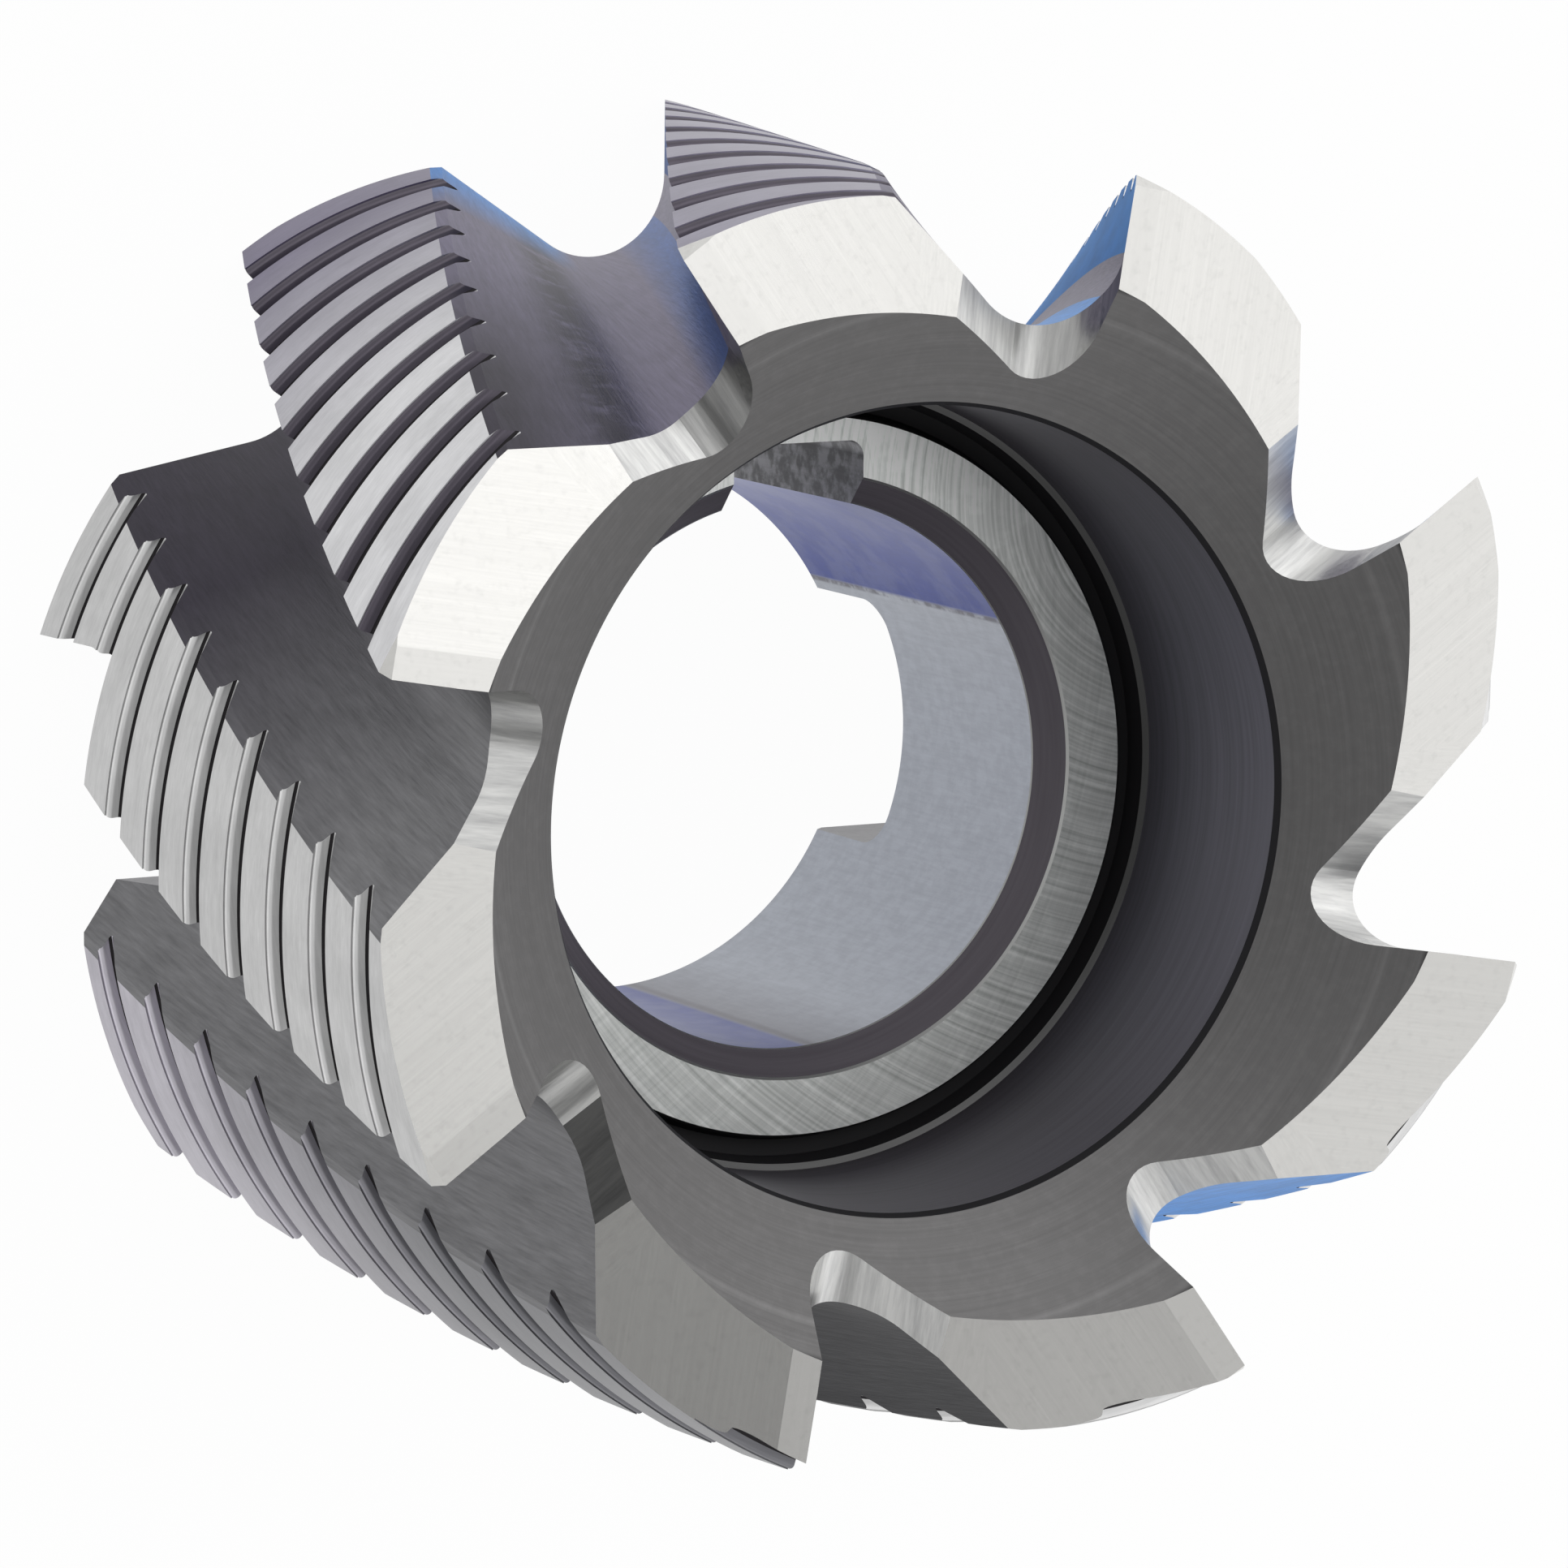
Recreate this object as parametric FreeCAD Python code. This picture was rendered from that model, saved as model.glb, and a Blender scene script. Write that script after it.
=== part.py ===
import FreeCAD, Part
import math
import os

os.makedirs("parts", exist_ok=True)

# Driving sizes in millimetres and degrees
# Frame: Z is the cutter's axis, the back (spindle) face stands on z = 0, the cutting end is up,
# and X runs along the drive slot.
outside_diameter = 63.0
length = 40.0
bore_diameter = 27.0
tooth_count = 8
helix_angle = 26.0
front_tip_angle = 28.9      # where one tooth's corner stands at the cutting end, from X

# Tooth section, square to the axis, measured from a tooth's tip
land_fall = 1.65            # how much the relieved land falls from the tip to the heel
land_offset = 3.5           # how much smaller the land's own radius is than the cutter's
flute_angle = 24.9          # from a tip forward to the heel of the tooth ahead
bevel_fall = 0.2            # the narrow heel bevel falls this much more, where the flank starts
bevel_angle = 23.7
root_radius = 4.1           # fillet at the bottom of the flute
root_stretches = 7          # straight stretches that make up the fillet
root_centre_in = 4.1        # fillet centre, in from the tip along its own radius
root_centre_side = 3.7      # fillet centre, forward of the tip's own radius

# Chip-breaker grooves round the lands
groove_pitch = 4.2
groove_depth = 0.68
groove_floor_width = 0.4
groove_wall_lean = 0.08     # axial lean of the steep wall over the groove's depth
groove_ramp_angle = 28.5    # the ramp that rises from the floor towards the cutting end
groove_phase = 2.0          # first tooth's grooves against the cutting end

# Cutting end
corner_chamfer = 0.5
face_ring_width = 5.4       # from the outside in to the edge of the hollow cone
cone_drop = 4.95            # depth of the hollow cone at its mouth
mouth_lip = 0.1             # the cone's mouth is this much wider than the counterbore
primary_width = 1.6
primary_relief = 5.0
secondary_relief = 10.2

# End gashes between the teeth
gash_slope = 6.0            # the gash floor falls this much going outwards
gash_turn = 6.2             # the gash runs this much forward of the tip's radius
gash_floor_drop = 4.71      # floor below the tip, square to the gash
gash_floor_radius = 2.3
gash_wall_lean = 4.5
gash_back_angle = 25.3

# Counterbore, seat and bore
counterbore_radius = 19.3
seat_height = 22.1          # ground seat above the back face
seat_outer_radius = 17.7
undercut_gap = 0.3          # between the undercut and the wall of the counterbore
undercut_depth = 1.1
bore_chamfer = 1.25
back_bore_chamfer = 0.4
back_chamfer = 0.3

# Keyway and drive slot
keyway_width = 7.0
keyway_height = 29.8        # from the far wall of the bore to the keyway floor
keyway_corner = 0.8
slot_width = 12.4
slot_depth = 7.0
slot_corner = 1.5

# How far the shapes that cut reach past the metal
end_overrun = 1.0
groove_overlap = 0.8
past_heel = 5.5             # degrees about the land's own centre
past_tip = 2.2
front_rim = 0.15            # no groove's wall stands nearer than this to the cutting end
back_rim = 0.35

R = outside_diameter / 2
TAU = 2 * math.pi
heel_radius = R - land_fall
bevel_radius = heel_radius - bevel_fall
land_radius = R - land_offset
face_ring_radius = R - face_ring_width
cone_mouth_radius = counterbore_radius + mouth_lip
undercut_outer_radius = counterbore_radius - undercut_gap
step = 360.0 / tooth_count
lead = TAU * R / math.tan(math.radians(helix_angle))
twist = 360.0 / lead        # degrees of turn for each millimetre of height


def vec(x, y, z=0.0):
    return FreeCAD.Vector(x, y, z)


def polar(radius, angle, z=0.0):
    a = math.radians(angle)
    return vec(radius * math.cos(a), radius * math.sin(a), z)


def turned(v, angle):
    a = math.radians(angle)
    return vec(v.x * math.cos(a) - v.y * math.sin(a), v.x * math.sin(a) + v.y * math.cos(a), v.z)


def tangent_point(point, centre, radius, side):
    """The point where a line from point touches a circle; side picks which of the two."""
    away = point - centre
    gap = away.Length
    base = math.degrees(math.atan2(away.y, away.x))
    return centre + polar(radius, base + side * math.degrees(math.acos(radius / gap)))


def arc_centre(p, q, radius, towards):
    """The centre of the arc of this radius through p and q that lies nearer to towards."""
    mid = (p + q) * 0.5
    along = q - p
    half = along.Length / 2
    normal = vec(-along.y, along.x).normalize()
    rise = math.sqrt(radius * radius - half * half)
    a = mid + normal * rise
    b = mid - normal * rise
    return a if (a - towards).Length < (b - towards).Length else b


def profile_face(points):
    return Part.Face(Part.makePolygon(points + [points[0]]))


def revolved(points, angle=360.0):
    return profile_face(points).revolve(vec(0, 0), vec(0, 0, 1), angle)


# Tooth section: rake line, root fillet, flank line, heel bevel, relieved land
tip = polar(R, 0)
heel = polar(heel_radius, flute_angle)
bevel = polar(bevel_radius, bevel_angle)
root_centre = vec(R - root_centre_in, root_centre_side)
rake_end = tangent_point(tip, root_centre, root_radius, -1)
flank_end = tangent_point(bevel, root_centre, root_radius, 1)
own_heel = polar(heel_radius, flute_angle - step)
land_centre = arc_centre(tip, own_heel, land_radius, vec(0, 0))


def helix_poles(point, low, high):
    """Bezier poles, of degree five, of the helix through a point of the section, from low to high."""
    turn = math.radians(twist * (high - low))
    ends = []
    for z, way in ((low, 1), (high, -1)):
        at = turned(point, front_tip_angle + twist * (z - length))
        slope = turned(at, 90) * (turn * way)
        bend = at * (-turn * turn)
        ends.append([at, at + slope / 5, at + slope * 2 / 5 + bend / 20])
    poles = ends[0] + ends[1][::-1]
    rise = (high - low) / 5
    return [vec(p.x, p.y, low + rise * i) for i, p in enumerate(poles)]


def helical_face(points, low, high):
    """A straight stretch (two points) or an arc (end, pole, end) of the section, carried up the helix."""
    poles = [helix_poles(p, low, high) for p in points]
    order = len(points)
    weights = [[1.0] * 6 for _ in points]
    if order == 3:
        chord = points[2] - points[0]
        side = points[1] - points[0]
        weights[1] = [chord.dot(side) / (chord.Length * side.Length)] * 6
    surface = Part.BSplineSurface()
    surface.buildFromPolesMultsKnots(
        poles, [order, order], [6, 6], [0, 1], [0, 1], False, False, order - 1, 5, weights)
    return surface.toShape()


def arc_pole(p, q, centre):
    """Where the tangents at both ends of an arc meet."""
    mid = (p + q) * 0.5 - centre
    radius = (p - centre).Length
    return centre + mid * (radius * radius / mid.dot(mid))


def root_points():
    """Points along the root fillet, from the rake line to the flank."""
    start = rake_end - root_centre
    end = flank_end - root_centre
    first = math.degrees(math.atan2(start.y, start.x))
    turn = (math.degrees(math.atan2(end.y, end.x)) - first) % 360 - 360
    return [root_centre + polar(root_radius, first + turn * i / root_stretches)
            for i in range(root_stretches + 1)]


def twisted_body():
    """The tooth section carried up the helix, a little past both ends of the cutter."""
    low = -end_overrun
    high = length + end_overrun
    next_tip = turned(tip, step)
    root = root_points()
    stretches = [[tip, rake_end], [flank_end, bevel], [bevel, heel]]
    stretches += [[p, q] for p, q in zip(root, root[1:])]
    stretches.append([heel, arc_pole(heel, next_tip, turned(land_centre, step)), next_tip])
    faces = [helical_face([turned(p, i * step) for p in stretch], low, high)
             for i in range(tooth_count) for stretch in stretches]
    for z in (low, high):
        rim = [e for f in faces for e in f.Edges if all(abs(v.Z - z) < 1e-6 for v in e.Vertexes)]
        faces.append(Part.Face(Part.Wire(Part.__sortEdges__(rim))))
    shell = Part.Compound(faces)
    shell.sewShape(1e-5)
    return Part.Solid(shell.Shells[0])


def blank():
    cone_edge = length - cone_drop
    c = corner_chamfer
    b = back_chamfer
    bore = bore_diameter / 2
    seat = seat_height
    points = [
        vec(bore + back_bore_chamfer, 0, 0),
        vec(R - b, 0, 0),
        vec(R + 0.02, 0, b),
        vec(R + 0.02, 0, length - c - 0.02),
        vec(R - c, 0, length),
        vec(face_ring_radius, 0, length),
        vec(cone_mouth_radius, 0, cone_edge),
        vec(counterbore_radius, 0, cone_edge - 0.3),
        vec(counterbore_radius, 0, seat + 0.2),
        vec(undercut_outer_radius, 0, seat - 0.05),
        vec(undercut_outer_radius - 0.25, 0, seat - undercut_depth),
        vec(seat_outer_radius + 0.25, 0, seat - undercut_depth),
        vec(seat_outer_radius, 0, seat),
        vec(bore + bore_chamfer, 0, seat),
        vec(bore, 0, seat - bore_chamfer),
        vec(bore, 0, back_bore_chamfer),
    ]
    return revolved(points)


def gash(angle):
    """A long trough with a steep wall on the rake side and a sloping back, laid across the teeth."""
    rad = gash_floor_radius
    lean = math.radians(gash_wall_lean)
    back = math.radians(gash_back_angle)
    # the wall starts at the tip; s is forward, h is up, square to the trough
    wall_top = (0.35, 4.0)
    low = -gash_floor_drop
    # the floor arc's centre sits one radius from the wall and one above the lowest point
    centre_h = low + rad
    centre_s = centre_h * math.tan(lean) + rad / math.cos(lean)
    start = (centre_s - rad * math.cos(lean), centre_h + rad * math.sin(lean))
    end = (centre_s + rad * math.sin(back), centre_h - rad * math.cos(back))
    run = 12.0
    far = (end[0] + run * math.cos(back), end[1] + run * math.sin(back))
    mid = (centre_s, low)
    top = (start[0] + (wall_top[1] - start[1]) * math.tan(lean), wall_top[1])
    place = [vec(0, s, h) for s, h in (top, start, mid, end, far, (far[0], wall_top[1]))]
    a, b, m, e, f, g = place
    wire = Part.Wire([
        Part.makeLine(a, b),
        Part.Arc(b, m, e).toShape(),
        Part.makeLine(e, f),
        Part.makeLine(f, g),
        Part.makeLine(g, a),
    ])
    solid = Part.Face(wire).extrude(vec(30, 0, 0))
    solid.translate(vec(-14, 0, 0))
    solid.rotate(vec(0, 0), vec(0, 1, 0), gash_slope)
    solid.rotate(vec(0, 0), vec(0, 0, 1), gash_turn)
    solid.translate(vec(R - corner_chamfer, 0, length))
    solid.rotate(vec(0, 0), vec(0, 0, 1), angle)
    return solid


def end_relief(angle):
    """What is ground away over one end land: a narrow flat, then a steeper one."""
    p = math.tan(math.radians(primary_relief))
    s = math.tan(math.radians(secondary_relief))
    reach = 13.6
    points = [
        vec(0, 0.4, 0.0001),
        vec(0, 0, 0),
        vec(0, -primary_width, -primary_width * p),
        vec(0, -reach, -primary_width * p - (reach - primary_width) * s),
        vec(0, -reach, 2),
        vec(0, 0.4, 2),
    ]
    solid = profile_face(points).extrude(vec(18, 0, 0))
    solid.translate(vec(-14, 0, 0))
    solid.rotate(vec(0, 0), vec(0, 0, 1), gash_turn)
    solid.translate(vec(R - corner_chamfer, 0, length))
    solid.rotate(vec(0, 0), vec(0, 0, 1), angle)
    return solid


def groove(tooth, z_wall):
    """One groove over one land: steep wall at the back, flat floor, ramp towards the cutting end."""
    floor = land_radius - groove_depth
    top = land_radius + groove_overlap
    lean = groove_wall_lean / groove_depth
    ramp = 1 / math.tan(math.radians(groove_ramp_angle))
    foot = z_wall + groove_wall_lean
    ramp_foot = foot + groove_floor_width
    ring = profile_face([
        vec(top, 0, z_wall - groove_overlap * lean),
        vec(floor, 0, foot),
        vec(floor, 0, ramp_foot),
        vec(top, 0, ramp_foot + (groove_depth + groove_overlap) * ramp),
    ])
    heel_side = own_heel - land_centre
    tip_side = tip - land_centre
    first = math.degrees(math.atan2(heel_side.y, heel_side.x)) - past_heel
    last = math.degrees(math.atan2(tip_side.y, tip_side.x)) + past_tip
    solid = ring.revolve(vec(0, 0), vec(0, 0, 1), last - first)
    solid.rotate(vec(0, 0), vec(0, 0, 1), first)
    solid.translate(land_centre)
    middle = (z_wall + ramp_foot + groove_depth * ramp) / 2
    solid.rotate(vec(0, 0), vec(0, 0, 1), front_tip_angle + tooth * step + twist * (middle - length))
    return solid


def grooves():
    """Every land's grooves, each land a part of a pitch lower than the one behind it."""
    found = []
    for tooth in range(tooth_count):
        z_wall = length + groove_phase - tooth * groove_pitch / tooth_count
        while z_wall > length - front_rim:
            z_wall -= groove_pitch
        while z_wall > back_rim:
            found.append(groove(tooth, z_wall))
            z_wall -= groove_pitch
    return found


def keyway():
    bore = bore_diameter / 2
    floor = keyway_height - bore
    box = Part.makeBox(keyway_width, floor, length + 2, vec(-keyway_width / 2, 0, -1))
    corners = [e for e in box.Edges if abs(e.Vertexes[0].Z - e.Vertexes[1].Z) > 1
               and e.Vertexes[0].Y > floor - 0.01]
    return box.makeFillet(keyway_corner, corners)


def drive_slot():
    box = Part.makeBox(4 * R, slot_width, slot_depth + 1, vec(-2 * R, -slot_width / 2, -1))
    corners = [e for e in box.Edges if abs(e.Vertexes[0].X - e.Vertexes[1].X) > 1
               and e.Vertexes[0].Z > slot_depth - 0.01]
    return box.makeFillet(slot_corner, corners)


def tooth_angles():
    return [front_tip_angle + i * step for i in range(tooth_count)]


def cutter():
    body = twisted_body().common(blank())
    tools = [gash(a) for a in tooth_angles()] + [end_relief(a) for a in tooth_angles()]
    body = body.cut(tools)
    body = body.cut(grooves())
    body = body.cut([keyway(), drive_slot()])
    body = body.removeSplitter()
    solids = body.Solids
    return max(solids, key=lambda s: s.Volume)


part = cutter()
part.exportStep("parts/shell_end_mill.step")
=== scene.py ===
"""Shell end mill: a ringed roughing cutter with eight grooved helical teeth, on a pale floor.

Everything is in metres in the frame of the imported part: Z is the cutter's axis, the back face stands on
z = 0, the cutting end is up and X runs along the drive slot.
"""

import math

import bpy
import numpy as np
from mathutils import Matrix, Vector


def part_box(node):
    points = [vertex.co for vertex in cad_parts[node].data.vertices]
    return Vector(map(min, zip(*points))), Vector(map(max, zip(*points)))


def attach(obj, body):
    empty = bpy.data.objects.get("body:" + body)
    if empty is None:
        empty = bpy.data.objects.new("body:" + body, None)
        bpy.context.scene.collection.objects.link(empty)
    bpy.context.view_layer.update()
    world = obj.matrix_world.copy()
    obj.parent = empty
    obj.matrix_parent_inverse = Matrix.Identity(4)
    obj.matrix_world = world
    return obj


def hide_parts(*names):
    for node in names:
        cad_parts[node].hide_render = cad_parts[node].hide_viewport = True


bl_info = {
    "name": "Shell end mill",
    "version": (1, 0, 0),
    "blender": (4, 5, 0),
    "location": "3D View > Sidebar > Shell mill",
    "description": "Builds a roughing cutter with grooved helical teeth and a pale studio round it",
    "category": "Add Mesh",
}

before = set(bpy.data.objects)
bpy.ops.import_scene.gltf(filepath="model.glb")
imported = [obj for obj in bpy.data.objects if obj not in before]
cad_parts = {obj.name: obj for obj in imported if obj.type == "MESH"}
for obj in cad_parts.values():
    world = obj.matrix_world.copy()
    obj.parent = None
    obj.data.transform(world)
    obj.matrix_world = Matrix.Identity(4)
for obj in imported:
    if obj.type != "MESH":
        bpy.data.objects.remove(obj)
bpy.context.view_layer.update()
cad_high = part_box("shell_end_mill")[1]

MM = 0.001

# Surfaces of the cutter, in the order of its material slots
SURFACES = [
    "land", "groove", "groove edge", "groove line", "rake", "flute", "end land", "end facet", "gash",
    "gash floor", "gash wall", "cone", "counterbore", "undercut", "rim line", "bright edge", "seat",
    "bore chamfer", "bore", "keyway", "drive slot", "back",
]
SLOT = {name: i for i, name in enumerate(SURFACES)}

# Painted light and shade: how light the long side and the floor of each gash are painted, from the first
# tooth forward
GASH_PAINTED_LIGHT = ["ffffff", "ffffff", "f4f4f4", "c8c8c8", "585858", "ffffff", "dcdcdc", "d8d8d8"]
GASH_FLOOR_PAINTED_LIGHT = ["e8e8e8", "d8d8d8", "a8a8a8", "c4c4c4", "c4c4c4", "ffffff", "f0f0f0", "f0f0f0"]

# Where the sector that belongs to a tooth's gash or end land begins, in degrees from its gash's direction
SWEEPS = {"gash": -8, "end land": -31}

# How many straight parts each curve is made of: a tooth's section and the body's rows, the turned blank, the
# floor of a gash, a groove along its land and across its section, and a channel's corner
RAKE_PARTS, ROOT_PARTS, FLANK_PARTS, BEVEL_PARTS, LAND_PARTS, BODY_ROWS = 6, 30, 8, 2, 16, 57
TURNED_PARTS = 256
GASH_PARTS = 14
GROOVE_PARTS, CREST_PARTS, FOOT_PARTS, FLOOR_PARTS = 26, 7, 3, 4
CORNER_PARTS = 8

# Where the bore's sectors of painted blue reflection begin, and the dark lines beside them, in degrees round
# the axis
BLUE_ABOVE, LINE_ABOVE = 30.3, 30.2
BLUE_BELOW, LINE_BELOW = -85.0, -84.3

# Faces that turn by more than this meet in a sharp edge
SHARP_ANGLE = math.radians(28)


# Properties

def length_of(name, description, millimetres):
    return bpy.props.FloatProperty(
        name=name, description=description, default=millimetres * MM, unit="LENGTH", precision=5)


def angle_of(name, description, degrees):
    return bpy.props.FloatProperty(
        name=name, description=description, default=math.radians(degrees), unit="ROTATION", precision=3)


def linear(code):
    """A colour written as six hexadecimal digits, as the linear values that a shader takes."""
    values = [int(code[i:i + 2], 16) / 255 for i in (0, 2, 4)]
    return [v / 12.92 if v <= 0.04045 else ((v + 0.055) / 1.055) ** 2.4 for v in values]


def colour_of(name, description, code):
    return bpy.props.FloatVectorProperty(
        name=name, description=description, default=linear(code), subtype="COLOR", size=3, min=0, max=1)


class CutterSizes(bpy.types.PropertyGroup):
    """Sizes of the cutter."""

    outside_diameter: length_of("Outside diameter", "Across the tips of the teeth", 63)
    length: bpy.props.FloatProperty(
        name="Length", description="From the back face to the cutting end",
        default=round(cad_high.z, 4), unit="LENGTH", precision=5)
    bore_diameter: length_of("Bore", "Diameter of the bore", 27)
    teeth: bpy.props.IntProperty(name="Teeth", description="Number of teeth", default=8, min=2, max=24)
    helix_angle: angle_of("Helix", "Slope of the teeth at the outside", 26)
    front_tip: angle_of("First tip", "Where one tooth's corner stands at the cutting end", 28.9)

    heel_radius: length_of("Heel radius", "The land has fallen to this radius at its heel", 29.85)
    flute_angle: angle_of("Flute", "From a tip forward to the heel of the tooth ahead", 24.9)
    bevel_radius: length_of("Bevel radius", "Where the heel bevel ends and the flank starts", 29.65)
    bevel_angle: angle_of("Bevel end", "From a tip forward to the end of the heel bevel", 23.7)
    land_radius: length_of("Land radius", "Radius of the relieved land, off centre", 28)
    root_radius: length_of("Root radius", "Fillet at the bottom of the flute", 4.1)
    root_out: length_of("Root centre out", "Fillet centre along the tip's own radius", 27.4)
    root_side: length_of("Root centre forward", "Fillet centre forward of the tip's own radius", 3.7)

    groove_pitch: length_of("Groove pitch", "From one chip groove to the next", 4.2)
    groove_depth: length_of("Groove depth", "Depth of a chip groove", 0.68)
    groove_round: length_of("Groove floor radius", "Rounding of the groove's floor", 0.2)
    groove_crest: length_of("Groove crest radius", "Rounding of the edge above the steep wall", 0.3)
    groove_lean: length_of("Groove wall lean", "Axial lean of the groove's steep wall", 0.08)
    groove_ramp: angle_of("Groove ramp", "Slope of the groove's long side", 28.5)
    groove_phase: length_of("Groove phase", "First tooth's grooves against the cutting end", 2.0)

    corner_chamfer: length_of("Corner chamfer", "Chamfer on the corners of the teeth", 0.5)
    ring_radius: length_of("Face ring radius", "The hollow cone starts here", 26.1)
    mouth_radius: length_of("Cone mouth radius", "The hollow cone ends here", 19.4)
    cone_drop: length_of("Cone drop", "Depth of the hollow cone", 4.95)
    primary_width: length_of("Facet width", "Width of the narrow facet behind a cutting edge", 1.6)
    primary_relief: angle_of("Facet relief", "Relief of the narrow facet", 5)
    end_relief: angle_of("End relief", "Relief of the rest of the end land", 10.2)

    gash_slope: angle_of("Gash slope", "How the gash floor falls outwards", 6.0)
    gash_turn: angle_of("Gash turn", "How far forward of the tip's radius the gash runs", 6.2)
    gash_drop: length_of("Gash depth", "Gash floor below the tip", 4.71)
    gash_round: length_of("Gash floor radius", "Rounding of the gash floor", 2.3)
    gash_lean: angle_of("Gash wall lean", "Lean of the gash's steep wall", 4.5)
    gash_back: angle_of("Gash back", "Slope of the gash's long side", 25.3)

    counterbore_radius: length_of("Counterbore radius", "Radius of the counterbore", 19.3)
    seat_height: length_of("Seat height", "Ground seat above the back face", 22.1)
    seat_radius: length_of("Seat radius", "Outer radius of the ground seat", 17.7)
    undercut_radius: length_of("Undercut radius", "Outer radius of the undercut", 19.0)
    undercut_depth: length_of("Undercut depth", "Depth of the undercut below the seat", 1.1)
    bore_chamfer: length_of("Bore chamfer", "Chamfer at the front of the bore", 1.25)
    back_bore_chamfer: length_of("Back bore chamfer", "Chamfer at the back of the bore", 0.4)
    back_chamfer: length_of("Back chamfer", "Chamfer round the back face", 0.3)
    edge_break: length_of("Edge break", "Rounding of the small edges", 0.12)

    keyway_width: length_of("Keyway width", "Width of the keyway", 7)
    keyway_height: length_of("Keyway height", "From the far wall of the bore to the keyway floor", 29.8)
    keyway_corner: length_of("Keyway corner", "Rounding of the keyway's corners", 0.8)
    slot_width: length_of("Slot width", "Width of the drive slot", 12.4)
    slot_depth: length_of("Slot depth", "Depth of the drive slot", 7)
    slot_corner: length_of("Slot corner", "Rounding of the drive slot's corners", 1.5)


class CutterFinish(bpy.types.PropertyGroup):
    """Colours of the cutter's surfaces."""

    land_bright: colour_of("Bright land", "Ground land in open light", "d2d2d4")
    land_plain: colour_of("Plain land", "Ground land", "c3c3c3")
    # painted purple reflection of the surroundings on the lands
    land_purple_reflection: colour_of("Tinted land", "Ground land with a purple cast", "8f8b9b")
    # painted shade together with a painted purple reflection
    land_dark: colour_of("Dark land", "Ground land with a dark purple cast", "706a80")
    land_grey: colour_of("Grey land", "Ground land in half shade", "6e6e72")
    # a faint painted reflection
    land_lilac: colour_of("Lilac land", "Ground land with a faint cast", "b6b3bb")
    # painted shade on the groove edges of the two far lands
    groove_shade: colour_of("Shaded groove edge", "Groove edges on the two far lands", "4e4a52")
    # painted shade in the crease at the foot of each chip groove
    groove_crease_shade: colour_of("Groove line", "Dark line at the foot of the chip grooves", "2e2c2e")
    rake: colour_of("Rake face", "Rake faces without tint", "8d8f94")
    # painted blue reflection on the rake faces of some teeth, in two strengths; also used on the flutes
    rake_blue_reflection: colour_of("Blue rake face", "Rake face with a strong painted_blue_reflection tint", "3686d0")
    rake_deep_blue_reflection: colour_of("Deep blue rake face", "Rake face with a darker painted_blue_reflection tint", "3a5a96")
    flute: colour_of("Flute", "Milled root and flank of the flutes", "757577")
    # painted purple reflection on the flutes
    flute_purple_reflection: colour_of("Tinted flute", "Flute with a purple cast", "6b667b")
    # painted shade together with a painted purple reflection
    flute_dark: colour_of("Dark flute", "Flute with a dark purple cast", "322e39")
    flute_deep: colour_of("Deep flute", "Flute in shade", "3e3e40")
    end_land: colour_of("End land", "Ground end faces of the teeth", "e4e3e0")
    gash_light: colour_of("Gash, light", "Light streaks of the gashes", "efefed")
    gash_dark: colour_of("Gash, dark", "Dark streaks of the gashes", "c2c2c2")
    cone: colour_of("Cone", "Hollow cone of the cutting end", "737272")
    cone_line: colour_of("Cone line", "Faint ring on the hollow cone", "8a8989")
    counterbore: colour_of("Counterbore", "Wall of the counterbore", "57545b")
    # painted light on the side of the counterbore towards +X
    counterbore_painted_light: colour_of("Counterbore, light", "Lighter side of the counterbore", "6a6972")
    # Nearly black: painted shade in the undercut round the seat; the same colour also darkens the edge at the
    # cone's mouth and the cone's outer rim
    undercut: colour_of("Undercut", "Undercut round the seat", "1b1a1d")
    rim_line: colour_of("Rim line", "Thin ring at the foot of the counterbore", "4a4a4a")
    # painted highlight along the small rounded edges of the seat and the bore
    edge_highlight: colour_of("Bright edge", "Thin painted_highlight edges round the seat and the bore", "c4c5c3")
    seat: colour_of("Seat", "Ground seat ring", "f0f2f0")
    seat_dark: colour_of("Seat marks", "Grinding marks on the seat", "bcc0bd")
    bore_chamfer: colour_of("Bore chamfer", "Chamfer at the front of the bore", "6c676e")
    bore: colour_of("Bore", "Ground wall of the bore", "999da6")
    # painted blue reflection in two sectors of the bore
    bore_blue_reflection: colour_of("Blue bore", "Heat-tinted part of the bore", "08287c")
    bore_line: colour_of("Bore lines", "Dark lines at the ends of the painted_blue_reflection tint", "3a3644")
    keyway: colour_of("Keyway", "Floor and sides of the keyway", "8a8a8e")
    slot: colour_of("Drive slot", "Milled drive slot", "7c7b7e")
    back: colour_of("Back face", "Ground back face", "a3a3a6")


class StudioLook(bpy.types.PropertyGroup):
    """Floor, light and camera."""

    floor_colour: colour_of("Floor", "Colour of the floor", "f4f4f2")
    floor_size: bpy.props.FloatProperty(
        name="Floor size", description="Side of the floor", default=6.0, unit="LENGTH")
    key_power: bpy.props.FloatProperty(
        name="Key lamp", description="Power of the soft lamp beyond the cutter", default=0.4, unit="POWER")
    panel_power: bpy.props.FloatProperty(
        name="Panel", description="Power of the broad panel on the far side", default=0.2, unit="POWER")
    room_light: bpy.props.FloatProperty(
        name="Room light", description="Share of the room's light on dull surfaces", default=0.95)


# Shapes in numpy. A section or profile is an array (points, 2), a surface an array (rows, columns, 3).

def polar(radius, angle):
    """x = radius cos(angle), y = radius sin(angle)."""
    radius, angle = np.broadcast_arrays(radius, angle)
    return np.stack([radius * np.cos(angle), radius * np.sin(angle)], axis=-1)


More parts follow.
